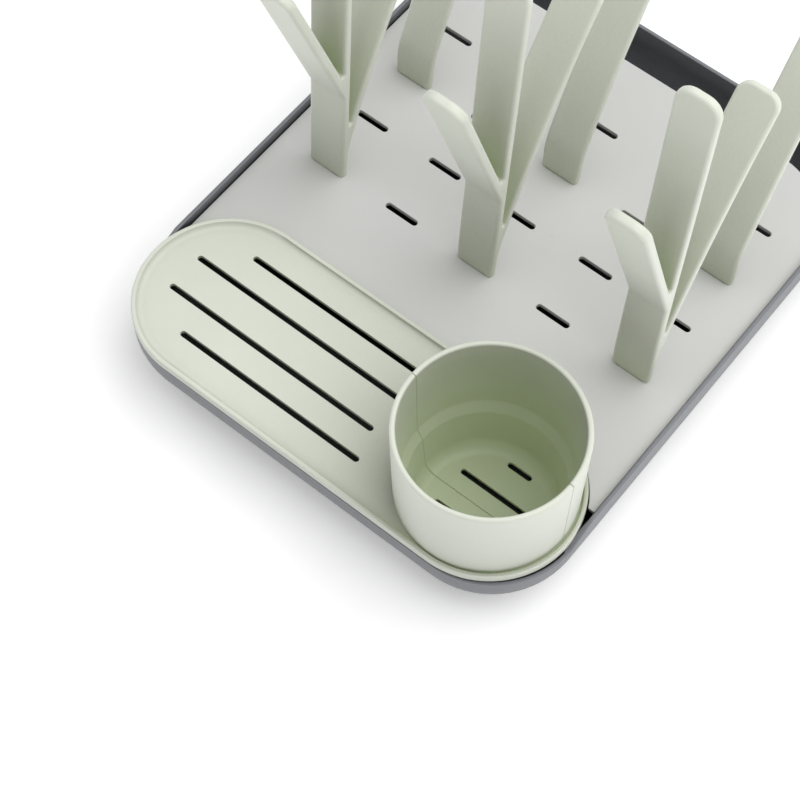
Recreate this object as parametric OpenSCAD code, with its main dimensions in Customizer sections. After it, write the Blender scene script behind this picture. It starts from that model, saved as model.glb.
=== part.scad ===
// Bottle drying rack: a drip tray on rubber feet, a slotted deck with six plug-in
// posts, a shallow accessory tray across the front and a two-half cup standing in it.
// Millimetres, +Z up, -Y is the front. The origin is at the middle of the footprint,
// on the surface that the rubber feet stand on.

/* [Drip tray] */
// Width of the drip tray over its outer walls
tray_w = 217.4; // [200:0.1:260]
// Depth of the drip tray from front to back
tray_d = 262; // [250:1:330]
// Height of the drip tray's rim above the surface that it stands on
tray_h = 35; // [33:0.5:45]
// Thickness of the drip tray's walls and floor
tray_wall = 1.8; // [1.6:0.1:3]
// Radius of the large round where the walls turn into the floor
tray_round = 24; // [16:1:24]
// Diameter of each rubber foot
foot_dia = 16; // [10:1:24]
// How far the rubber feet stand out below the tray
foot_drop = 1.6; // [1:0.1:3]

/* [Deck] */
// Height of the deck's top face
deck_top = 31; // [30:0.5:33]
// Thickness of the deck's plate
deck_t = 2.4; // [1.8:0.1:4]
// Spacing of the post columns across the rack
col_pitch = 80; // [76:0.5:84]
// Spacing of the slot rows from front to back
row_pitch = 29.65; // [28:0.05:31]
// Length of a drain slot over its round ends
slot_len = 16.6; // [10:0.1:20]
// Width of a drain slot
slot_w = 2.9; // [2:0.1:4]

/* [Posts] */
// Width of every post
post_w = 18.6; // [14:0.2:22]
// Thickness of the blades and arms
post_t = 4.2; // [3:0.1:5]
// Height of the tall blade's tip above the deck
blade_h = 176; // [160:1:190]
// Angle by which the tall blade leans back
blade_lean = 3.5; // [2:0.5:5]
// Angle by which the front prong leans forward
prong_lean = 18.7; // [14:0.1:24]
// Height above the deck at which the front prong leaves the blade
prong_z = 53; // [45:1:60]
// Length of the front prong along its slope
prong_len = 95; // [80:1:105]
// Lean of the back arm where it leaves the foot
arm_lean_foot = 22; // [18:1:26]
// Radius of the back arm's gentle backward curve
arm_curve = 500; // [450:10:700]
// Height of the back arm's tip above the deck
arm_h = 126; // [110:1:128]

/* [Accessory tray and cup] */
// Height of the accessory tray's rim above the deck
pan_rim = 3.6; // [3:0.1:6]
// Thickness of the accessory tray's rim and floor
pan_t = 1.8; // [1.4:0.1:2.2]
// Width of the long slots in the accessory tray
pan_slot_w = 2.2; // [1.6:0.1:3]
// Height of the cup's rim above the deck
cup_h = 51.2; // [40:0.2:70]
// Outer radius of the cup at its rim
cup_r = 38.4; // [38:0.1:38.6]
// Thickness of the cup's wall at its rim
cup_t = 2.4; // [2:0.1:2.6]
// Depth of the cup's inside floor below the deck
cup_depth = 22; // [18:0.5:22.5]

/* [Hidden] */

sage = "#dbe2cd";
deck_grey = "#d2d2cf";
slate = "#7d8188";
rubber_grey = "#5c5f63";

smooth = 64;            // segments of a full circle
corner_r = 39.7;        // tray corners and the ends of the accessory tray
gap = 0.5;              // clearance between pieces that lift apart
over = 1;               // how far a cutter runs past what it cuts
foot_recess = 1;        // depth of the recesses that the rubber feet are stuck into

half_w = tray_w / 2;
half_d = tray_d / 2;
tray_bottom = foot_drop;
tray_floor = tray_bottom + tray_wall;
round_top = tray_bottom + tray_round;

// Accessory tray: a stadium that fills the front of the drip tray
pan_y = corner_r - half_d;
pan_left_x = corner_r - half_w;
pan_right_gap = 1.9;    // drip tray's rim that shows beside the accessory tray
pan_right_x = half_w - corner_r - pan_right_gap;
pan_floor = deck_top + 1.6;
pan_under = pan_floor - pan_t;
pan_rim_top = deck_top + pan_rim;
pan_inner_r = corner_r - pan_t - 0.1;
inner_slot_y = 8.75;    // slots of the accessory tray and the cup, from its middle line
outer_slot_y = 23;

// Rows and columns of the deck
deck_front = pan_y + corner_r + gap;
deck_side_y = pan_y + 18;   // the deck's sides run forward to here beside the accessory tray
front_row_y = deck_front + 39.1;
deck_back = front_row_y + 125.3;
deck_half_w = half_w - tray_wall - 0.7;
deck_corner_r = 37;
rear_row_y = front_row_y + 2 * row_pitch;
columns = [-col_pitch, 0, col_pitch];
between_columns = [-col_pitch / 2, col_pitch / 2];
deck_under = deck_top - deck_t;

// Rim of the drip tray, cut down where the accessory tray lies on it
rim_step_y = pan_y + 13;

// Cup
cup_x = 66.5;
cup_base_r = 37.3;      // foot of the sleeve, on the accessory tray
cup_body_r = 33.8;      // top of the body that hangs through the tray's hole
cup_body_t = 1.6;
cup_hole_r = cup_body_r + 0.7;
cup_floor_z = deck_top - cup_depth;
cup_floor_r = 24.2;
cup_round = 6;          // inside, where the body turns into the floor
cup_slot_w = 2.6;
cup_rim_z = deck_top + cup_h;

// Posts
blade_tip_r = 7;
arm_tip_r = 6;
prong_t = post_t + 0.4;
arm_root = [1.25, 17.1];    // y and z of the arm's centre line where it leaves the foot

// Post tenons and the sockets under the deck
tenon_w = 12;
tenon_t = 3;
tenon_len = 11;
socket_gap = 0.35;
boss_h = 10;
boss_wall = 2;

// ---------- outlines ----------

// Slot with round ends, centred, along X
module slot_outline(length, width) {
    reach = (length - width) / 2;
    square([2 * reach, width], center = true);
    for (side = [-1, 1])
        translate([side * reach, 0]) circle(d = width, $fn = smooth / 2);
}

// Stadium of the accessory tray with end radius r, its long axis on the X axis
module stadium_outline(r) {
    translate([pan_left_x, -r]) square([pan_right_x - pan_left_x, 2 * r]);
    for (x = [pan_left_x, pan_right_x])
        translate([x, 0]) circle(r = r, $fn = 2 * smooth);
}

// Plate w wide with its foot on the X axis and its two top corners rounded
module tongue_outline(w, length, r) {
    translate([-w / 2, 0]) square([w, length - r]);
    translate([r - w / 2, length - 2 * r]) square([w - 2 * r, 2 * r]);
    for (side = [-1, 1])
        translate([side * (w / 2 - r), length - r]) circle(r = r, $fn = smooth);
}

// ---------- drip tray ----------

// Wall and round of the drip tray; x is the distance from the centre of its corner
module tray_wall_profile() {
    centre_x = corner_r - tray_round;
    inner = tray_round - tray_wall;
    outer_arc = [for (a = [-90:7.5:0])
        [centre_x + tray_round * cos(a), round_top + tray_round * sin(a)]];
    inner_arc = [for (a = [0:-7.5:-90])
        [centre_x + inner * cos(a), round_top + inner * sin(a)]];
    polygon(concat(
        outer_arc, [[corner_r, tray_h], [corner_r - tray_wall, tray_h]], inner_arc));
}

// Straight run of the wall between two corners, on the +X side
module tray_side(half_length, to_edge) {
    translate([to_edge - corner_r, half_length, 0])
        rotate([90, 0, 0])
        linear_extrude(2 * half_length) tray_wall_profile();
}

module tray_shell() {
    run_x = half_w - corner_r;
    run_y = half_d - corner_r;
    for (turn = [0, 180])
        rotate(turn) tray_side(run_y, half_w);
    for (turn = [90, 270])
        rotate(turn) tray_side(run_x, half_d);
    for (i = [0:3])
        translate([(i == 0 || i == 3 ? 1 : -1) * run_x, (i < 2 ? 1 : -1) * run_y, 0])
            rotate(i * 90)
            rotate_extrude(angle = 90, $fn = 2 * smooth) tray_wall_profile();
    floor_x = half_w - tray_round;
    floor_y = half_d - tray_round;
    floor_r = corner_r - tray_round;
    translate([0, 0, tray_bottom]) linear_extrude(tray_wall) union() {
        square([2 * floor_x, 2 * (floor_y - floor_r)], center = true);
        square([2 * (floor_x - floor_r), 2 * floor_y], center = true);
        for (sx = [-1, 1], sy = [-1, 1])
            translate([sx * (floor_x - floor_r), sy * (floor_y - floor_r)])
                circle(r = floor_r, $fn = 2 * smooth);
    }
}

// Pillars on the floor and brackets on the walls that carry the deck
module deck_supports() {
    pillar_d = 7;
    bracket = [8, 3, 9];
    bracket_x = deck_half_w - bracket[0] / 2 + 0.4;
    for (x = between_columns, row = [0.5, 2.5])
        translate([x, front_row_y + row * row_pitch, tray_floor])
            cylinder(h = deck_under - tray_floor, d = pillar_d, $fn = smooth / 2);
    for (sx = [-1, 1], y = [-12, 45, 100])
        translate([sx * bracket_x, front_row_y + y, deck_under - bracket[2] / 2])
            cube(bracket, center = true);
}

// Rib across the tray that carries the back of the accessory tray and the deck's front
module cross_rib() {
    half = 62;
    pan_ledge = 2;
    deck_ledge = 4;
    drain = [12, 7];
    translate([0, deck_front - 3, tray_floor]) difference() {
        union() {
            translate([-half, 0, 0]) cube([2 * half, pan_ledge, pan_under - tray_floor]);
            translate([-half, pan_ledge, 0])
                cube([2 * half, deck_ledge, deck_under - tray_floor]);
        }
        for (x = concat(between_columns, 0))
            translate([x - drain[0] / 2, -over, 0])
                cube([drain[0], pan_ledge + deck_ledge + 2 * over, drain[1]]);
    }
}

function foot_places() = [
    for (sy = [-1, 1], sx = [-1, 1]) [sx * (half_w - 34), sy * (half_d - 38)]];

module drip_tray() {
    color(slate) difference() {
        union() {
            tray_shell();
            deck_supports();
            cross_rib();
        }
        // Lower rim under the accessory tray
        translate([-half_w - over, -half_d - over, pan_under])
            cube([tray_w + 2 * over, rim_step_y + half_d + over, tray_h]);
        // Recesses for the rubber feet
        for (place = foot_places())
            translate([place[0], place[1], tray_bottom - over])
                cylinder(h = foot_recess + over, d = foot_dia + 0.6, $fn = smooth);
    }
}

module rubber_foot(index) {
    place = foot_places()[index];
    color(rubber_grey) translate([place[0], place[1], 0])
        cylinder(h = foot_drop + foot_recess, d = foot_dia, $fn = smooth);
}

// ---------- deck ----------

module deck_outline() {
    back_r_y = deck_back - deck_corner_r;
    difference() {
        union() {
            translate([-deck_half_w, deck_side_y])
                square([2 * deck_half_w, back_r_y - deck_side_y]);
            translate([deck_corner_r - deck_half_w, back_r_y])
                square([2 * (deck_half_w - deck_corner_r), deck_corner_r]);
            for (sx = [-1, 1])
                translate([sx * (deck_half_w - deck_corner_r), back_r_y])
                    circle(r = deck_corner_r, $fn = 2 * smooth);
        }
        translate([0, pan_y]) stadium_outline(corner_r + gap);
    }
}

// Slots stand in every row between the posts and in every other row behind them
module deck_slots() {
    for (row = [0:3], x = between_columns)
        translate([x, front_row_y + row * row_pitch]) slot_outline(slot_len, slot_w);
    for (row = [1, 3], x = columns)
        translate([x, front_row_y + row * row_pitch]) slot_outline(slot_len, slot_w);
}

module at_posts() {
    for (x = columns, y = [front_row_y, rear_row_y])
        translate([x, y, 0]) children();
}

module deck() {
    hole = [tenon_w + 2 * socket_gap, tenon_t + 2 * socket_gap];
    boss = [hole[0] + 2 * boss_wall, hole[1] + 2 * boss_wall];
    color(deck_grey) difference() {
        union() {
            translate([0, 0, deck_under]) linear_extrude(deck_t) deck_outline();
            at_posts() translate([-boss[0] / 2, -boss[1] / 2, deck_under - boss_h])
                cube([boss[0], boss[1], boss_h + deck_t / 2]);
        }
        translate([0, 0, deck_under - over])
            linear_extrude(deck_t + 2 * over) deck_slots();
        at_posts() translate([-hole[0] / 2, -hole[1] / 2, deck_under - boss_h - over])
            cube([hole[0], hole[1], boss_h + deck_t + 2 * over]);
    }
}

// ---------- posts ----------
// A post is drawn with its foot at the origin, on the deck's top face.

// Flat plate of the given lean, its front face starting at (y, z)
module leaning_plate(y, z, lean, length, thick, tip_r) {
    translate([0, y, z]) rotate([-lean, 0, 0])
        translate([0, thick, 0]) rotate([90, 0, 0])
        linear_extrude(thick) tongue_outline(post_w, length, tip_r);
}

// Centre line of the back arm: y and z where it leans by the angle a
function arm_centre(a) = [
    arm_root[0] + arm_curve * (cos(arm_lean_foot) - cos(a)),
    arm_root[1] + arm_curve * (sin(a) - sin(arm_lean_foot))];

function arm_face(a, offset) = arm_centre(a) + offset * [cos(a), -sin(a)];

arm_lean_tip = asin(sin(arm_lean_foot) + (arm_h - arm_root[1]) / arm_curve);

// Back arm: bends up out of the foot and curves gently away to the back
module back_arm() {
    steps = 16;
    turn = (arm_lean_tip - arm_lean_foot) / steps;
    angles = [for (i = [0:steps]) arm_lean_foot + i * turn];
    front = [for (a = angles) arm_face(a, -post_t / 2)];
    back = [for (i = [steps:-1:0]) arm_face(angles[i], post_t / 2)];
    foot = [[post_t / 2, 0], [-post_t / 2, 0]];
    intersection() {
        rotate([90, 0, 90]) translate([0, 0, -post_w / 2])
            linear_extrude(post_w) polygon(concat(front, back, foot));
        translate([0, arm_h, 0]) rotate([90, 0, 0])
            linear_extrude(2 * arm_h) tongue_outline(post_w, arm_h, arm_tip_r);
    }
}

module tenon() {
    translate([-tenon_w / 2, -tenon_t / 2, -tenon_len])
        cube([tenon_w, tenon_t, tenon_len + over]);
}

// Tall blade with its front prong, on the same foot as the back arm
module fork_post() {
    tenon();
    back_arm();
    difference() {
        leaning_plate(
            -post_t / 2, 0, blade_lean, blade_h / cos(blade_lean), post_t, blade_tip_r);
        translate([-post_w, -post_w, -over]) cube([2 * post_w, 2 * post_w, over]);
    }
    prong_y = prong_z * tan(blade_lean) - post_t / 2;
    leaning_plate(prong_y, prong_z, -prong_lean, prong_len, prong_t, blade_tip_r);
}

// Rear posts have the back arm alone
module arm_post() {
    tenon();
    back_arm();
}

module front_post(column) {
    color(sage) translate([columns[column], front_row_y, deck_top]) fork_post();
}

module rear_post(column) {
    color(sage) translate([columns[column], rear_row_y, deck_top]) arm_post();
}

// ---------- accessory tray ----------

// Two long slots on each side of the middle line, the outer two cut shorter
module pan_slots() {
    for (side = [-1, 1], slot = [[inner_slot_y, -92.5, 15.8], [outer_slot_y, -74.1, 20]])
        translate([(slot[1] + slot[2]) / 2, side * slot[0]])
            slot_outline(slot[2] - slot[1], pan_slot_w);
}

module accessory_tray() {
    color(sage) translate([0, pan_y, 0]) difference() {
        translate([0, 0, pan_under])
            linear_extrude(pan_rim_top - pan_under) stadium_outline(corner_r);
        translate([0, 0, pan_floor])
            linear_extrude(pan_rim_top) stadium_outline(pan_inner_r);
        translate([0, 0, pan_under - over])
            linear_extrude(pan_t + 2 * over) pan_slots();
        translate([cup_x, 0, pan_under - over])
            cylinder(h = pan_t + 2 * over, r = cup_hole_r, $fn = 2 * smooth);
    }
}

// ---------- cup ----------

// Right half of the cup's section: a wide sleeve that stands on the accessory tray
// and a narrower body that hangs through its hole
module cup_profile() {
    turn_z = cup_floor_z + cup_round;
    outer_r = cup_round + cup_body_t;
    outer_round = [for (a = [-90:10:0])
        [cup_floor_r + outer_r * cos(a), turn_z + outer_r * sin(a)]];
    inner_round = [for (a = [0:-10:-90])
        [cup_floor_r + cup_round * cos(a), turn_z + cup_round * sin(a)]];
    polygon(concat(
        [[0, cup_floor_z - cup_body_t]],
        outer_round,
        [[cup_body_r, pan_floor], [cup_base_r, pan_floor], [cup_r, cup_rim_z],
         [cup_r - cup_t, cup_rim_z], [cup_base_r - cup_t + 0.2, pan_floor + 4.7],
         [cup_body_r - cup_body_t, pan_floor + 1.5]],
        inner_round,
        [[0, cup_floor_z]]));
}

module cup_slots() {
    for (side = [-1, 1]) {
        translate([0, side * inner_slot_y]) slot_outline(37.5, cup_slot_w);
        translate([0.5, side * outer_slot_y]) slot_outline(12, cup_slot_w);
    }
}

// Half of the cup on the side of its seam given by turn
module cup_half(turn) {
    color(sage) translate([cup_x, pan_y, 0]) difference() {
        rotate(turn) rotate_extrude(angle = 180, $fn = 2 * smooth) cup_profile();
        translate([0, 0, cup_floor_z - cup_body_t - over])
            linear_extrude(cup_body_t + 2 * over) cup_slots();
    }
}

drip_tray();
rubber_foot(0);  // rubber_foot_front_left
rubber_foot(1);  // rubber_foot_front_right
rubber_foot(2);  // rubber_foot_rear_left
rubber_foot(3);  // rubber_foot_rear_right
deck();
front_post(0);  // post_front_left
front_post(1);  // post_front_middle
front_post(2);  // post_front_right
rear_post(0);  // post_rear_left
rear_post(1);  // post_rear_middle
rear_post(2);  // post_rear_right
accessory_tray();
cup_half(180);  // cup_front_half
cup_half(0);  // cup_rear_half
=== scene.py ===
"""Looks of the bottle drying rack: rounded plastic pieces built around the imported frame."""

import math

import bmesh
import bpy
from mathutils import Matrix, Vector


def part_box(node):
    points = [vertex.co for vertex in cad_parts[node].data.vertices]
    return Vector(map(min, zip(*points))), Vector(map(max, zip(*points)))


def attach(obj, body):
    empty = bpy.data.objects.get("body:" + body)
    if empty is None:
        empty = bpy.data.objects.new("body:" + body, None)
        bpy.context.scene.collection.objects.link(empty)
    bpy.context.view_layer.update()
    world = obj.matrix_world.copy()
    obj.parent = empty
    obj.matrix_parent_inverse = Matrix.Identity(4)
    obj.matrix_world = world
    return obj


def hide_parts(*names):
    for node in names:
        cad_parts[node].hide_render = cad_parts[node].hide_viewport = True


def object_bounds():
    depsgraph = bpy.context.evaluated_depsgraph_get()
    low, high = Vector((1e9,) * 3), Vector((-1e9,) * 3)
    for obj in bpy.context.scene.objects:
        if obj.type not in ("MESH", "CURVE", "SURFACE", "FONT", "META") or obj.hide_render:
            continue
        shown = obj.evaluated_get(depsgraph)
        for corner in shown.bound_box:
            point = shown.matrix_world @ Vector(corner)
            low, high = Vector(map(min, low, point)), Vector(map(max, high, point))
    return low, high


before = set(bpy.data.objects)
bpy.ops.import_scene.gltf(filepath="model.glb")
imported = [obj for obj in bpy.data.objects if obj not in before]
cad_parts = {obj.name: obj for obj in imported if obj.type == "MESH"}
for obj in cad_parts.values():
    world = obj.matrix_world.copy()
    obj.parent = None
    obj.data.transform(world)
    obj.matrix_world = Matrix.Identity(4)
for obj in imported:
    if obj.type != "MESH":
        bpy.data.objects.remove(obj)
cad_low, cad_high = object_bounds()
scene = bpy.context.scene

MM = 0.001

# ---------- sizes that follow from the frame ----------

tray_low, tray_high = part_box("drip_tray")
deck_low, deck_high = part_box("deck")
pan_low, pan_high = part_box("accessory_tray")
cup_low, cup_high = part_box("cup_front_half")
arm_low, arm_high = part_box("post_rear_middle")

HALF_W = tray_high.x
HALF_D = tray_high.y
CORNER_R = (pan_high.y - pan_low.y) / 2
TRAY_WALL = 1.8 * MM
TRAY_ROUND = 24 * MM
TRAY_FLOOR = tray_low.z + TRAY_WALL

DECK_TOP = deck_high.z
DECK_T = 2.4 * MM
DECK_UNDER = DECK_TOP - DECK_T
DECK_CORNER_R = 37 * MM
DECK_SLOT = (16.6 * MM, 2.9 * MM)
SOCKET_HOLE = (12.7 * MM, 3.7 * MM)
SOCKET_WALLS = 4 * MM
TENON = (12 * MM, 3 * MM)

PAN_Y = (pan_low.y + pan_high.y) / 2
PAN_LEFT_X = pan_low.x + CORNER_R
PAN_RIGHT_X = pan_high.x - CORNER_R
PAN_T = 1.8 * MM
PAN_FLOOR = pan_low.z + PAN_T
RIM_STEP_Y = PAN_Y + 13 * MM
PAN_SLOT_W = 2.7 * MM
RIM_DROP = 0.9 * MM
PAN_SIDE_RIM = 3.8 * MM

# Slots of the accessory tray and the cup, from their middle line
INNER_SLOT_Y = 8.75 * MM
OUTER_SLOT_Y = 23 * MM

POST_W = arm_high.x - arm_low.x
POST_T = 4.2 * MM
ROW_PITCH = 29.65 * MM
REAR_ROW_Y = arm_low.y + POST_T / 2
FRONT_ROW_Y = REAR_ROW_Y - 2 * ROW_PITCH
COLUMNS = {
    hand: sum(corner.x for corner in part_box(f"post_rear_{hand}")) / 2
    for hand in ("left", "middle", "right")
}

CUP_X = (cup_low.x + cup_high.x) / 2
CUP_R = (cup_high.x - cup_low.x) / 2
CUP_T = 2.4 * MM
CUP_HOLE_R = 34.5 * MM
CUP_SLOT_W = 2.6 * MM
SEAM_GAP = 0.06 * MM
SEAM_ROUNDING = 0.28 * MM

# ---------- plane geometry ----------


def arc(x, y, radius, start, end, steps):
    """Points of an arc about (x, y); the angles are in degrees."""
    angles = [math.radians(start + (end - start) * i / steps) for i in range(steps + 1)]
    return [(x + radius * math.cos(a), y + radius * math.sin(a)) for a in angles]


def rounded(corners, steps=5, closed=True):
    """Outline through corners (x, y, radius), each one turned into an arc of its radius."""
    outline = []
    for i, (x, y, radius) in enumerate(corners):
        here = Vector((x, y))
        is_end = not closed and i in (0, len(corners) - 1)
        if radius == 0 or is_end:
            outline.append((x, y))
            continue
        before = (Vector(corners[i - 1][:2]) - here).normalized()
        after = (Vector(corners[(i + 1) % len(corners)][:2]) - here).normalized()
        half = before.angle(after) / 2
        reach = radius / math.tan(half)
        centre = here + (before + after).normalized() * radius / math.sin(half)
        first = here + before * reach - centre
        last = here + after * reach - centre
        for step in range(steps + 1):
            spoke = first.slerp(last, step / steps).normalized() * radius
            outline.append(tuple(centre + spoke))
    return outline


def slot_outline(x, y, length, width):
    """Slot with round ends along X."""
    reach = (length - width) / 2
    right = arc(x + reach, y, width / 2, -90, 90, 10)
    left = arc(x - reach, y, width / 2, 90, 270, 10)
    return right + left


def rectangle(x, y, width, depth):
    return [
        (x - width / 2, y - depth / 2),
        (x + width / 2, y - depth / 2),
        (x + width / 2, y + depth / 2),
        (x - width / 2, y + depth / 2),
    ]


# ---------- meshes ----------


def weld_and_face_out(bm):
    bmesh.ops.remove_doubles(bm, verts=bm.verts, dist=0.002 * MM)
    bmesh.ops.recalc_face_normals(bm, faces=bm.faces)


def swept(bm, columns, profile, closed=True, joined=True):
    """Skin through a profile of (distance, height) points carried round columns (centre, direction).

    The profile may be a function of the centre and the direction. closed joins its ends, and
    joined closes the round of columns."""
    rings = []
    for centre, way in columns:
        ring = []
        for distance, height in profile(centre, way) if callable(profile) else profile:
            spot = centre + way * distance
            ring.append(bm.verts.new((spot.x, spot.y, height)))
        rings.append(ring)
    pairs = len(rings) if joined else len(rings) - 1
    spans = len(rings[0]) if closed else len(rings[0]) - 1
    for i in range(pairs):
        here, beyond = rings[i], rings[(i + 1) % len(rings)]
        for j in range(spans):
            k = (j + 1) % len(rings[0])
            bm.faces.new((here[j], beyond[j], beyond[k], here[k]))
    return rings


def corner_columns(corners, steps):
    """Columns round corners (x, y, start, end); the angles are in degrees."""
    columns = []
    for x, y, start, end in corners:
        for way in arc(0, 0, 1, start, end, steps):
            columns.append((Vector((x, y)), Vector(way)))
    return columns


def plate(name, outlines, low, high, edge):
    """Flat plate from an outline and the holes in it, its edges rounded by edge."""
    curve = bpy.data.curves.new(name, "CURVE")
    curve.dimensions = "2D"
    curve.fill_mode = "BOTH"
    curve.extrude = (high - low) / 2 - edge
    curve.bevel_depth = edge
    curve.bevel_resolution = 2
    curve.offset = -edge
    for outline in outlines:
        spline = curve.splines.new("POLY")
        spline.points.add(len(outline) - 1)
        for point, (x, y) in zip(spline.points, outline):
            point.co = (x, y, 0, 1)
        spline.use_cyclic_u = True
    holder = bpy.data.objects.new(name, curve)
    scene.collection.objects.link(holder)
    bpy.context.view_layer.update()
    shape = holder.evaluated_get(bpy.context.evaluated_depsgraph_get())
    mesh = bpy.data.meshes.new_from_object(shape)
    mesh.transform(Matrix.Translation((0, 0, (low + high) / 2)))
    bpy.data.objects.remove(holder)
    bpy.data.curves.remove(curve)
    bm = bmesh.new()
    bm.from_mesh(mesh)
    bpy.data.meshes.remove(mesh)
    weld_and_face_out(bm)
    return bm


def add_prism(bm, outline, low, high):
    """Solid between two heights with the given outline."""
    bottom = [bm.verts.new((x, y, low)) for x, y in outline]
    top = [bm.verts.new((x, y, high)) for x, y in outline]
    bm.faces.new(bottom)
    bm.faces.new(top)
    for i in range(len(outline)):
        k = (i + 1) % len(outline)
        bm.faces.new((bottom[i], bottom[k], top[k], top[i]))


def add_tube(bm, outer, inner, low, high):
    """Open socket between two outlines with the same number of points."""
    rings = [[bm.verts.new((x, y, z)) for x, y in line] for line, z in
             ((outer, low), (outer, high), (inner, high), (inner, low))]
    for i in range(4):
        here, beyond = rings[i], rings[(i + 1) % 4]
        for j in range(len(outer)):
            k = (j + 1) % len(outer)
            bm.faces.new((here[j], here[k], beyond[k], beyond[j]))


def set_edge_rounding(bm, widest, rounding):
    """Stores on each sharp edge the share of the widest rounding that it takes."""
    share = bm.edges.layers.float.new("bevel_weight_edge")
    for edge in bm.edges:
        if edge.calc_face_angle(0) > math.radians(30):
            edge[share] = rounding(edge) / widest


def finish_piece(name, bm, material, body, nodes, rounding=0, segments=3):
    """Object made of bm that stands for CAD nodes, its marked edges rounded by rounding."""
    mesh = bpy.data.meshes.new(name)
    bm.to_mesh(mesh)
    bm.free()
    mesh.shade_smooth()
    mesh.materials.append(material)
    if not rounding:
        mesh.set_sharp_from_angle(angle=math.radians(32))
    piece = bpy.data.objects.new(name, mesh)
    scene.collection.objects.link(piece)
    if rounding:
        bevel = piece.modifiers.new("rounded edges", "BEVEL")
        bevel.width = rounding
        bevel.segments = segments
        bevel.limit_method = "WEIGHT"
        bevel.use_clamp_overlap = False
    normals = piece.modifiers.new("flat faces stay flat", "WEIGHTED_NORMAL")
    normals.keep_sharp = True
    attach(piece, body)
    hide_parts(*nodes)
    return piece


# ---------- materials ----------


def link_noise(tree, coordinates, scale, detail):
    noise = tree.nodes.new("ShaderNodeTexNoise")
    noise.inputs["Scale"].default_value = scale
    noise.inputs["Detail"].default_value = detail
    tree.links.new(coordinates, noise.inputs["Vector"])
    return noise


def moulded_plastic(name, painted_shade_colours, roughness, grain=0.06, sheen=0.0):
    """Satin moulded plastic: cloudy colour, uneven gloss and the fine grain of the mould.

    The base colour is painted shade: an ambient-occlusion mask gives hollows the first colour,
    half-sheltered faces such as upright sides the middle one and open faces the last, standing
    in for shade and for light that bounces between the walls."""
    material = bpy.data.materials.new(name)
    material.use_nodes = True
    tree = material.node_tree
    shader = tree.nodes["Principled BSDF"]
    coordinates = tree.nodes.new("ShaderNodeTexCoord").outputs["Object"]

    # Painted shade: how sheltered each spot is picks its colour, darker and tinted in hollows and on
    # sides
    occlusion_for_painted_shade = tree.nodes.new("ShaderNodeAmbientOcclusion")
    occlusion_for_painted_shade.samples = 4
    occlusion_for_painted_shade.inputs["Distance"].default_value = 90 * MM
    painted_shade_ramp = tree.nodes.new("ShaderNodeValToRGB")
    painted_shade_ramp.color_ramp.elements.new(0.5)
    for stop, place, colour in zip(painted_shade_ramp.color_ramp.elements, (0.1, 0.52, 0.92), painted_shade_colours):
        stop.position = place
        stop.color = (*colour, 1)
    tree.links.new(occlusion_for_painted_shade.outputs["AO"], painted_shade_ramp.inputs["Fac"])

    clouds = link_noise(tree, coordinates, 22, 3)
    spread = tree.nodes.new("ShaderNodeMapRange")
    spread.inputs["From Min"].default_value = 0.3
    spread.inputs["From Max"].default_value = 0.6
    spread.inputs["To Min"].default_value = 0.97
    tree.links.new(clouds.outputs["Fac"], spread.inputs["Value"])
    # Painted shade from the occlusion, times the random cloudiness of the plastic
    painted_shade_and_cloud_tone = tree.nodes.new("ShaderNodeVectorMath")
    painted_shade_and_cloud_tone.operation = "SCALE"
    tree.links.new(painted_shade_ramp.outputs["Color"], painted_shade_and_cloud_tone.inputs[0])
    tree.links.new(spread.outputs["Result"], painted_shade_and_cloud_tone.inputs["Scale"])
    tree.links.new(painted_shade_and_cloud_tone.outputs["Vector"], shader.inputs["Base Color"])

    wear = link_noise(tree, coordinates, 90, 4)
    gloss = tree.nodes.new("ShaderNodeMapRange")
    gloss.inputs["To Min"].default_value = roughness - 0.05
    gloss.inputs["To Max"].default_value = roughness + 0.07
    tree.links.new(wear.outputs["Fac"], gloss.inputs["Value"])
    tree.links.new(gloss.outputs["Result"], shader.inputs["Roughness"])

    spark = link_noise(tree, coordinates, 2600, 2)
    bump = tree.nodes.new("ShaderNodeBump")
    bump.inputs["Strength"].default_value = grain
    bump.inputs["Distance"].default_value = 0.1 * MM
    tree.links.new(spark.outputs["Fac"], bump.inputs["Height"])
    tree.links.new(bump.outputs["Normal"], shader.inputs["Normal"])

    shader.inputs["Specular IOR Level"].default_value = 0.45
    shader.inputs["Sheen Weight"].default_value = sheen
    return material


# Painted shade: in each list the first colour darkens hollows, nearly black inside the drip tray and
# deep green inside the cup, and the middle one darkens half-sheltered faces such as upright sides; the
# last is the open faces' own colour.
SLATE = moulded_plastic(
    "slate_plastic", [(0.012, 0.013, 0.014), (0.19, 0.197, 0.215), (0.22, 0.226, 0.245)], 0.42)
DECK_GREY = moulded_plastic(
    "deck_plastic", [(0.48, 0.48, 0.46), (0.62, 0.62, 0.60), (0.66, 0.66, 0.648)], 0.46)
SAGE = moulded_plastic(
    "sage_plastic", [(0.62, 0.70, 0.47), (0.42, 0.435, 0.365), (0.78, 0.81, 0.71)], 0.42, sheen=0.2)
RUBBER = moulded_plastic(
    "foot_rubber", [(0.03, 0.03, 0.03), (0.08, 0.085, 0.09), (0.10, 0.105, 0.11)], 0.7, grain=0.2)

# ---------- drip tray ----------


def rim_height(spot):
    """Height of the rim, which is cut down in front, where the accessory tray lies on it.

    The cut runs a little lower towards the cup, where a thin dark gap shows under the tray."""
    if spot.y > RIM_STEP_Y:
        return tray_high.z
    share = min(max((spot.x + 60 * MM) / (120 * MM), 0), 1)
    return pan_low.z - share * RIM_DROP


def rim_width(spot):
    """Width of the rim, which fills the corner between the right wall and the accessory tray."""
    is_beside_pan = spot.x > PAN_RIGHT_X and PAN_Y < spot.y <= RIM_STEP_Y
    return PAN_SIDE_RIM if is_beside_pan else TRAY_WALL


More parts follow.
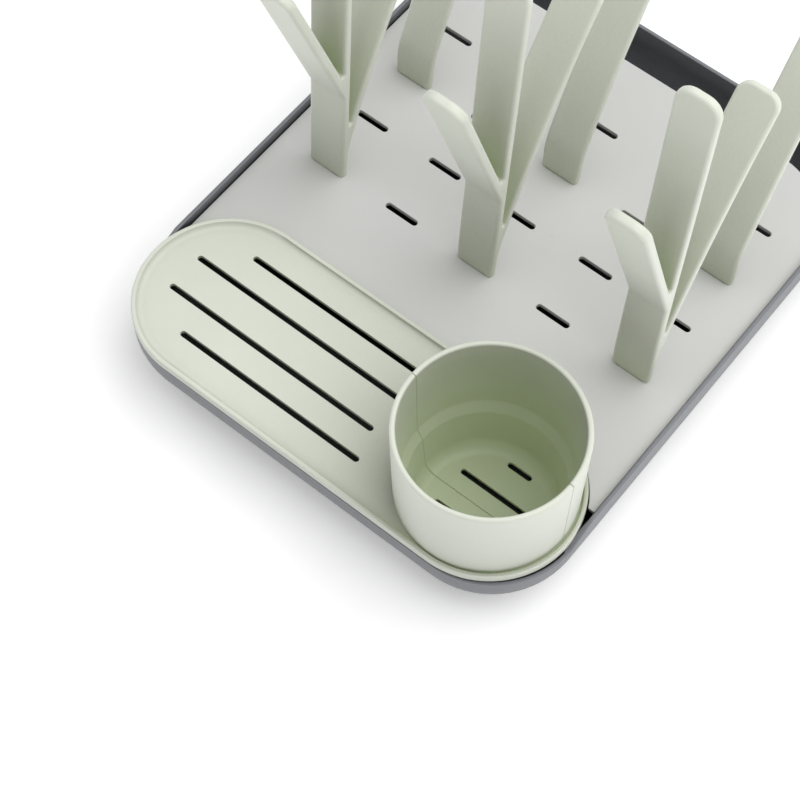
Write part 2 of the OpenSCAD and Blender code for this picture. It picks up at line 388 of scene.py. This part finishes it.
def drip_tray():
    bm = bmesh.new()
    run_x = HALF_W - CORNER_R
    run_y = HALF_D - CORNER_R
    bend = CORNER_R - TRAY_ROUND
    turn_z = tray_low.z + TRAY_ROUND

    outside = arc(bend, turn_z, TRAY_ROUND, -90, 0, 14)[:-1]
    inside = arc(bend, turn_z, TRAY_ROUND - TRAY_WALL, 0, -90, 14)[1:]

    def section(centre, way):
        spot = centre + way * CORNER_R
        top = rim_height(spot)
        rim = rounded([
            (CORNER_R, turn_z, 0),
            (CORNER_R, top, 0.6 * MM),
            (CORNER_R - rim_width(spot), top, 0.6 * MM),
            (CORNER_R - TRAY_WALL, turn_z, 0),
        ], closed=False)
        return outside + rim + inside

    columns = corner_columns([
        (run_x, run_y, 0, 90),
        (-run_x, run_y, 90, 180),
        (-run_x, -run_y, 180, 270),
        (run_x, -run_y, 270, 360),
    ], 20)
    # Columns on either side of the step in the rim
    count = len(columns) // 4
    slope = 0.5 * MM
    left = [(Vector((-run_x, RIM_STEP_Y + shift)), Vector((-1, 0))) for shift in (slope, 0)]
    right = [(Vector((run_x, RIM_STEP_Y + shift)), Vector((1, 0))) for shift in (0, slope)]
    columns = columns[:2 * count] + left + columns[2 * count:] + right
    rings = swept(bm, columns, section, closed=False)
    bm.faces.new([ring[0] for ring in rings])
    bm.faces.new([ring[-1] for ring in rings])

    for x in (-40 * MM, 40 * MM):
        for row in (0.5, 2.5):
            pillar = arc(x, FRONT_ROW_Y + row * ROW_PITCH, 3.5 * MM, 0, 337.5, 15)
            add_prism(bm, pillar, TRAY_FLOOR, DECK_UNDER)
    bracket = (8 * MM, 3 * MM, 9 * MM)
    for side in (-1, 1):
        for y in (-12 * MM, 45 * MM, 100 * MM):
            x = side * (deck_high.x - 3.6 * MM)
            outline = rectangle(x, FRONT_ROW_Y + y, bracket[0], bracket[1])
            add_prism(bm, outline, DECK_UNDER - bracket[2], DECK_UNDER)
    add_cross_rib(bm)
    bmesh.ops.recalc_face_normals(bm, faces=bm.faces)
    widest = 0.5 * MM
    set_edge_rounding(bm, widest, lambda edge: widest if edge.calc_length() > 2 * MM else 0)
    nodes = ["drip_tray"]
    finish_piece("drip_tray_shell", bm, SLATE, "base", nodes, widest, 2)


def add_cross_rib(bm):
    """Rib under the back of the accessory tray, with low notches that let water through."""
    half = 62 * MM
    rib_y = PAN_Y + CORNER_R - 2.5 * MM
    notch = 12 * MM
    notch_z = TRAY_FLOOR + 7 * MM
    corners = [(-half, TRAY_FLOOR)]
    for x in (-40 * MM, 0, 40 * MM):
        corners += [(x - notch / 2, TRAY_FLOOR), (x - notch / 2, notch_z)]
        corners += [(x + notch / 2, notch_z), (x + notch / 2, TRAY_FLOOR)]
    corners.append((half, TRAY_FLOOR))
    for low_y, high_y, top in ((0, 2 * MM, pan_low.z), (2 * MM, 6 * MM, DECK_UNDER)):
        outline = corners + [(half, top), (-half, top)]
        front = [bm.verts.new((x, rib_y + low_y, z)) for x, z in outline]
        back = [bm.verts.new((x, rib_y + high_y, z)) for x, z in outline]
        bm.faces.new(front)
        bm.faces.new(back)
        for i in range(len(outline)):
            k = (i + 1) % len(outline)
            bm.faces.new((front[i], front[k], back[k], back[i]))


def rubber_foot(node):
    """Foot disc with a rounded tread edge."""
    low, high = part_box(node)
    x = (low.x + high.x) / 2
    y = (low.y + high.y) / 2
    radius = (high.x - low.x) / 2
    profile = rounded([
        (0.2 * MM, low.z, 0),
        (radius, low.z, 0.7 * MM),
        (radius, high.z, 0.2 * MM),
        (0.2 * MM, high.z, 0),
    ], closed=False)
    bm = bmesh.new()
    columns = corner_columns([(x, y, 0, 352.5)], 47)
    rings = swept(bm, columns, profile, closed=False)
    bm.faces.new([ring[0] for ring in rings])
    bm.faces.new([ring[-1] for ring in rings])
    bmesh.ops.recalc_face_normals(bm, faces=bm.faces)
    finish_piece(node + "_pad", bm, RUBBER, "base", [node])


# ---------- deck ----------


def deck_outline():
    gap = 0.5 * MM
    cut_r = CORNER_R + gap
    side_y = PAN_Y + 18 * MM
    rise = math.degrees(math.asin((side_y - PAN_Y) / cut_r))
    back_y = deck_high.y - DECK_CORNER_R
    corner_x = deck_high.x - DECK_CORNER_R
    outline = [(deck_high.x, side_y)]
    outline += arc(corner_x, back_y, DECK_CORNER_R, 0, 90, 20)
    outline += arc(-corner_x, back_y, DECK_CORNER_R, 90, 180, 20)
    outline += [(-deck_high.x, side_y)]
    outline += arc(PAN_LEFT_X, PAN_Y, cut_r, 180 - rise, 90, 14)
    outline += arc(PAN_RIGHT_X, PAN_Y, cut_r, 90, rise, 14)
    return outline


def deck():
    slots = []
    for row in range(4):
        y = FRONT_ROW_Y + row * ROW_PITCH
        places = [COLUMNS["left"] / 2, COLUMNS["right"] / 2]
        if row % 2:
            places += COLUMNS.values()
        slots += [slot_outline(x, y, *DECK_SLOT) for x in places]
    posts = [(x, y) for x in COLUMNS.values() for y in (FRONT_ROW_Y, REAR_ROW_Y)]
    sockets = [rectangle(x, y, *SOCKET_HOLE) for x, y in posts]
    bm = plate("deck", [deck_outline()] + slots + sockets, DECK_UNDER, DECK_TOP, 0.35 * MM)
    for x, y in posts:
        inner = rectangle(x, y, *SOCKET_HOLE)
        outer = rectangle(x, y, *(size + SOCKET_WALLS for size in SOCKET_HOLE))
        add_tube(bm, outer, inner, deck_low.z, DECK_UNDER + DECK_T / 3)
    add_gate_mark(bm)
    bmesh.ops.recalc_face_normals(bm, faces=bm.faces)
    finish_piece("deck_plate", bm, DECK_GREY, "deck", ["deck"])


def add_gate_mark(bm):
    """Small round nub that the mould's gate left on the deck between two rows."""
    x = COLUMNS["middle"] + 16.5 * MM
    y = FRONT_ROW_Y + 1.06 * ROW_PITCH
    profile = [(1.2 * MM, DECK_TOP - 0.2 * MM), (1.1 * MM, DECK_TOP + 0.08 * MM)]
    profile += [(0.7 * MM, DECK_TOP + 0.16 * MM), (0.35 * MM, DECK_TOP + 0.02 * MM)]
    rings = swept(bm, corner_columns([(x, y, 0, 345)], 23), profile, closed=False)
    bm.faces.new([ring[0] for ring in rings])
    bm.faces.new([ring[-1] for ring in rings])


# ---------- posts ----------
# A post's side is an outline of (y, z) points measured from the middle of its foot.

BLADE_LEAN = math.radians(3.5)
BLADE_TIP_R = 7 * MM
PRONG_LEAN = math.radians(-18.7)
PRONG_Z = 53 * MM
PRONG_LEN = 95 * MM
PRONG_T = POST_T + 0.4 * MM
ARM_CURVE = 500 * MM
ARM_ROOT = Vector((1.25 * MM, 17.1 * MM))
ARM_ROOT_LEAN = math.radians(22)
ARM_TIP_R = 6 * MM
FOOT_TAPER = 0.35 * MM
FOOT_H = 10 * MM


def along(lean):
    """Direction up a blade that leans back by lean."""
    return Vector((math.sin(lean), math.cos(lean)))


def across(lean):
    """Direction from the front face of such a blade to its back face."""
    return Vector((math.cos(lean), -math.sin(lean)))


def arm_centre(lean):
    return ARM_ROOT + ARM_CURVE * Vector((
        math.cos(ARM_ROOT_LEAN) - math.cos(lean),
        math.sin(lean) - math.sin(ARM_ROOT_LEAN),
    ))


def arm_face(lean, side):
    return arm_centre(lean) + across(lean) * side * POST_T / 2


def crossing(a, a_way, b, b_way):
    """Where the line through a meets the line through b."""
    turn = a_way.x * b_way.y - a_way.y * b_way.x
    reach = ((b - a).x * b_way.y - (b - a).y * b_way.x) / turn
    return a + a_way * reach


def blade_faces(foot, lean, thick, length, tip_r):
    """Front and back points of a straight blade where its rounded tip starts."""
    front = foot + along(lean) * (length - tip_r)
    return front, front + across(lean) * thick


def arm_leans(first):
    """Leans of the stations of the arm from the given one to where its tip starts."""
    rise = arm_high.z - DECK_TOP - ARM_ROOT.y
    tip = math.asin(math.sin(ARM_ROOT_LEAN) + rise / ARM_CURVE)
    last = tip - ARM_TIP_R / ARM_CURVE
    steps = 10
    return [first + (last - first) * i / steps for i in range(steps + 1)]


def post_path(has_fork):
    """Side outline of a post: corners (y, z, radius), with a tip as (lean, radius) between two."""
    half_t = POST_T / 2
    foot_front = Vector((-half_t, 0))
    path = [(-half_t, 0, 0)]
    if has_fork:
        blade_way = along(BLADE_LEAN)
        path.append((*(foot_front + blade_way * FOOT_H), 0))
        prong_foot = foot_front + blade_way * PRONG_Z / math.cos(BLADE_LEAN)
        front, back = blade_faces(prong_foot, PRONG_LEAN, PRONG_T, PRONG_LEN, BLADE_TIP_R)
        crotch = crossing(foot_front, blade_way, back, along(PRONG_LEAN))
        path += [(*prong_foot, 5 * MM), (*front, 0), (PRONG_LEAN, BLADE_TIP_R), (*back, 0)]
        path.append((*crotch, 0.8 * MM))
        blade_len = (cad_high.z - DECK_TOP) / math.cos(BLADE_LEAN)
        front, back = blade_faces(foot_front, BLADE_LEAN, POST_T, blade_len, BLADE_TIP_R)
        path += [(*front, 0), (BLADE_LEAN, BLADE_TIP_R), (*back, 0)]
        meet = next(
            lean for lean in (ARM_ROOT_LEAN + i * 0.0005 for i in range(400))
            if arm_face(lean, -1).x > crossing(back, blade_way, arm_face(lean, -1), Vector((1, 0))).x
        )
        path.append((*arm_face(meet, -1), 0.8 * MM))
        front_leans = arm_leans(meet + 8 * MM / ARM_CURVE)
    else:
        path.append((-half_t + 0.3 * MM, FOOT_H, 0))
        path.append((*(arm_face(ARM_ROOT_LEAN, -1)), 40 * MM))
        front_leans = arm_leans(ARM_ROOT_LEAN + 12 * MM / ARM_CURVE)
    path += [(*arm_face(lean, -1), 0) for lean in front_leans]
    path.append((front_leans[-1], ARM_TIP_R))
    back_leans = arm_leans(ARM_ROOT_LEAN + 12 * MM / ARM_CURVE)
    path += [(*arm_face(lean, 1), 0) for lean in reversed(back_leans)]
    path.append((*arm_face(ARM_ROOT_LEAN, 1), 40 * MM))
    path += [(half_t + 0.4 * MM, FOOT_H, 0), (half_t, 0, 0)]
    return path


def smooth_path(path):
    """The path with its corners rounded, split at its tips; a list of (points, tip after them)."""
    runs = [[]]
    tips = []
    for item in path:
        if len(item) == 2:
            tips.append(item)
            runs.append([])
        else:
            runs[-1].append(item)
    return [rounded(run, steps=6, closed=False) for run in runs], tips


def add_tip(bm, front, back, lean, radius):
    """Rounded end of a blade between its front and back pairs of vertices (left, right)."""
    way = along(lean)
    sides = []
    for left, right in (front, back):
        middle = (left.co + right.co) / 2
        inner = (right.co.x - left.co.x) / 2 - radius
        right_arc = arc(inner, 0, radius, 0, 90, 9)[1:]
        left_arc = [(-x, rise) for x, rise in reversed(right_arc)]
        side = [right]
        for x, rise in right_arc + left_arc:
            side.append(bm.verts.new((middle.x + x, middle.y + way.x * rise, middle.z + way.y * rise)))
        side.append(left)
        bm.faces.new(side)
        sides.append(side)
    for i in range(len(sides[0]) - 1):
        bm.faces.new((sides[0][i], sides[0][i + 1], sides[1][i + 1], sides[1][i]))


def post(name, column, row_y, has_fork):
    runs, tips = smooth_path(post_path(has_fork))
    bm = bmesh.new()
    pairs = []
    for number, run in enumerate(runs):
        for i, (y, z) in enumerate(run):
            is_foot = z == 0
            half_w = POST_W / 2 - (FOOT_TAPER if is_foot else 0)
            pairs.append(tuple(
                bm.verts.new((column + side * half_w, row_y + y, DECK_TOP + z)) for side in (-1, 1)))
            if i:
                before = pairs[-2]
                bm.faces.new((before[0], before[1], pairs[-1][1], pairs[-1][0]))
        if number:
            first_of_run = pairs[-len(run)]
            last_of_run = pairs[-len(run) - 1]
            add_tip(bm, last_of_run, first_of_run, *tips[number - 1])
    for side in (0, 1):
        bm.faces.new([pairs[0][side], pairs[1][side], pairs[-2][side], pairs[-1][side]])
        bm.faces.new([pair[side] for pair in pairs[1:-1]])
    bm.faces.new((pairs[0][0], pairs[0][1], pairs[-1][1], pairs[-1][0]))
    tenon = rectangle(column, row_y, *TENON)
    add_prism(bm, tenon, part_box(name)[0].z, DECK_TOP + 0.5 * MM)
    bmesh.ops.recalc_face_normals(bm, faces=bm.faces)
    widest = 1.6 * MM

    def rounding(edge):
        lowest = max(vertex.co.z for vertex in edge.verts)
        return widest if lowest > DECK_TOP + 0.6 * MM else 0.6 * MM

    set_edge_rounding(bm, widest, rounding)
    finish_piece(name + "_blades", bm, SAGE, name, [name], widest, 4)


# ---------- accessory tray ----------


def pan_section(centre, way):
    """Section of the rim: soft towards the floor, but upright beside the cup."""
    softness = 0 if centre.x > 0 else 1
    rim_in = CORNER_R - 1.9 * MM
    foot_in = rim_in - softness * 1.2 * MM
    fillet = (0.4 + 2.6 * softness) * MM
    inner = foot_in - 2.5 * MM
    seat = PAN_FLOOR + 0.02 * MM
    return rounded([
        (CORNER_R, pan_low.z, 0.3 * MM),
        (CORNER_R, pan_high.z, 0.75 * MM),
        (rim_in, pan_high.z, 0.5 * MM),
        (foot_in, seat, fillet),
        (inner, seat, 0),
        (inner, pan_low.z + 0.7 * MM, 0),
        (CORNER_R - 0.8 * MM, pan_low.z, 0),
    ], steps=6)


def accessory_tray():
    floor_r = CORNER_R - 0.4 * MM
    floor = arc(PAN_RIGHT_X, PAN_Y, floor_r, -90, 90, 48)
    floor += arc(PAN_LEFT_X, PAN_Y, floor_r, 90, 270, 48)
    holes = [arc(CUP_X, PAN_Y, CUP_HOLE_R, 0, 356.25, 95)]
    for offset, start, end in ((INNER_SLOT_Y, -92.5, 15.8), (OUTER_SLOT_Y, -74.1, 20)):
        for side in (-1, 1):
            middle = (start + end) / 2 * MM
            y = PAN_Y + side * offset
            holes.append(slot_outline(middle, y, (end - start) * MM, PAN_SLOT_W))
    bm = plate("accessory_tray", [floor] + holes, pan_low.z, PAN_FLOOR, 0.15 * MM)
    ends = [(PAN_RIGHT_X, PAN_Y, -90, 90), (PAN_LEFT_X, PAN_Y, 90, 270)]
    swept(bm, corner_columns(ends, 48), pan_section)
    bmesh.ops.recalc_face_normals(bm, faces=bm.faces)
    nodes = ["accessory_tray"]
    finish_piece("accessory_tray_pan", bm, SAGE, "accessory_tray", nodes)


# ---------- cup ----------


def cup_profile():
    """Section of the cup as (radius, height): sleeve, ledge, body and floor."""
    base_r = 37.3 * MM
    body_r = 33.8 * MM
    body_t = 1.6 * MM
    turn_in = 6 * MM
    turn_out = turn_in + body_t
    floor_r = 24.2 * MM
    floor_z = cup_low.z + body_t
    foot_r = floor_r + turn_out
    return rounded([
        (0, cup_low.z, 0),
        (foot_r, cup_low.z, turn_out),
        (body_r, PAN_FLOOR - 0.02 * MM, 0.2 * MM),
        (base_r, PAN_FLOOR + 0.02 * MM, 0.4 * MM),
        (CUP_R, cup_high.z, 1.1 * MM),
        (CUP_R - CUP_T, cup_high.z, 1.1 * MM),
        (base_r - CUP_T + 0.2 * MM, PAN_FLOOR + 6 * MM, 4 * MM),
        (body_r - body_t, PAN_FLOOR + 0.8 * MM, 3 * MM),
        (foot_r - body_t, floor_z, turn_in),
        (0, floor_z, 0),
    ], steps=8)


def slot_cutter(side):
    bm = bmesh.new()
    for offset, shift, length in ((INNER_SLOT_Y, 0, 37.5), (OUTER_SLOT_Y, 0.5, 12)):
        x = CUP_X + shift * MM
        outline = slot_outline(x, PAN_Y + side * offset, length * MM, CUP_SLOT_W)
        add_prism(bm, outline, cup_low.z - MM, cup_low.z + 5 * MM)
    bmesh.ops.recalc_face_normals(bm, faces=bm.faces)
    mesh = bpy.data.meshes.new("cutter")
    bm.to_mesh(mesh)
    bm.free()
    cutter = bpy.data.objects.new("cutter", mesh)
    scene.collection.objects.link(cutter)
    return cutter


def mark_seam_edges(mesh, seam_y):
    """Marks the edges of the faces where the two halves meet for the seam's rounding."""
    bm = bmesh.new()
    bm.from_mesh(mesh)

    def on_seam(edge):
        is_on_seam = all(abs(vertex.co.y - seam_y) < 0.001 * MM for vertex in edge.verts)
        return SEAM_ROUNDING if is_on_seam else 0

    set_edge_rounding(bm, SEAM_ROUNDING, on_seam)
    bm.to_mesh(mesh)
    bm.free()


def cut_and_round(piece, cutter):
    """Cuts the slots into a half of the cup, rounds its seam and keeps the result as its mesh."""
    normals = piece.modifiers[0]
    cut = piece.modifiers.new("slots", "BOOLEAN")
    cut.operation = "DIFFERENCE"
    cut.solver = "EXACT"
    cut.object = cutter
    seam = piece.modifiers.new("seam", "BEVEL")
    seam.width = SEAM_ROUNDING
    seam.segments = 2
    seam.limit_method = "WEIGHT"
    seam.use_clamp_overlap = False
    # The flat faces are settled last, after the cut and the rounding
    piece.modifiers.move(piece.modifiers.find(normals.name), len(piece.modifiers) - 1)
    bpy.context.view_layer.update()
    shape = piece.evaluated_get(bpy.context.evaluated_depsgraph_get())
    piece.data = bpy.data.meshes.new_from_object(shape)
    piece.modifiers.clear()


def cup_half(node, side):
    """Half of the cup in front of its seam (side -1) or behind it (side 1)."""
    seam_y = PAN_Y + side * SEAM_GAP
    start = 0 if side > 0 else 180
    bm = bmesh.new()
    columns = corner_columns([(CUP_X, seam_y, start, start + 180)], 72)
    rings = swept(bm, columns, cup_profile(), joined=False)
    bm.faces.new(rings[0])
    bm.faces.new(rings[-1])
    weld_and_face_out(bm)
    piece = finish_piece(node + "_shell", bm, SAGE, "cup", [node])
    mark_seam_edges(piece.data, seam_y)
    cutter = slot_cutter(side)
    cut_and_round(piece, cutter)
    bpy.data.objects.remove(cutter)


# ---------- build the rack ----------

drip_tray()
for end in ("front", "rear"):
    for hand in ("left", "right"):
        rubber_foot(f"rubber_foot_{end}_{hand}")
deck()
for hand, x in COLUMNS.items():
    post(f"post_front_{hand}", x, FRONT_ROW_Y, True)
    post(f"post_rear_{hand}", x, REAR_ROW_Y, False)
accessory_tray()
cup_half("cup_front_half", -1)
cup_half("cup_rear_half", 1)

# ---------- floor, light and camera ----------


def floor():
    bm = bmesh.new()
    bmesh.ops.create_grid(bm, x_segments=8, y_segments=8, size=6)
    mesh = bpy.data.meshes.new("floor")
    bm.to_mesh(mesh)
    bm.free()
    glowing_floor_paint = moulded_plastic("floor_paint_glowing", [(0.93, 0.93, 0.93)] * 3, 0.8)
    # The floor glows a little though it is no lamp: it lifts the rack's shadow on it towards white and
    # lights the rack from below.
    glowing_floor_paint.node_tree.nodes["Principled BSDF"].inputs["Emission Strength"].default_value = 0.3
    mesh.materials.append(glowing_floor_paint)
    plane = bpy.data.objects.new("floor", mesh)
    scene.collection.objects.link(plane)


def area_light(name, place, aim, size, power):
    light = bpy.data.lights.new(name, "AREA")
    light.shape = "DISK"
    light.size = size
    light.energy = power
    lamp = bpy.data.objects.new(name, light)
    lamp.location = place
    lamp.rotation_euler = (Vector(aim) - Vector(place)).to_track_quat("-Z", "Y").to_euler()
    scene.collection.objects.link(lamp)


def studio():
    world = bpy.data.worlds.new("studio")
    world.use_nodes = True
    world.node_tree.nodes["Background"].inputs["Color"].default_value = (1, 1, 1, 1)
    world.node_tree.nodes["Background"].inputs["Strength"].default_value = 0.4
    scene.world = world
    middle = (0, 0, DECK_TOP)
    area_light("key", (0.5, 0.36, 1.35), middle, 1.9, 18.5)
    area_light("fill", (-0.9, -0.3, 1.3), middle, 1.2, 2)
    scene.view_settings.view_transform = "Standard"


def camera():
    """Camera that looks down at the rack from the front right, as the photograph does."""
    azimuth = math.radians(38.7)
    elevation = math.radians(62.13)
    distance = 838.7 * MM
    aim = Vector((15.15 * MM, PAN_Y + 9.38 * MM, DECK_TOP))
    back = Vector((
        math.sin(azimuth) * math.cos(elevation),
        -math.cos(azimuth) * math.cos(elevation),
        math.sin(elevation),
    ))
    lens = bpy.data.cameras.new("camera")
    lens.sensor_width = 36
    lens.lens = 93.37
    lens.clip_start = 0.05
    eye = bpy.data.objects.new("camera", lens)
    eye.location = aim + back * distance
    eye.rotation_euler = (math.pi / 2 - elevation, 0, azimuth)
    scene.collection.objects.link(eye)
    scene.camera = eye


floor()
studio()
camera()
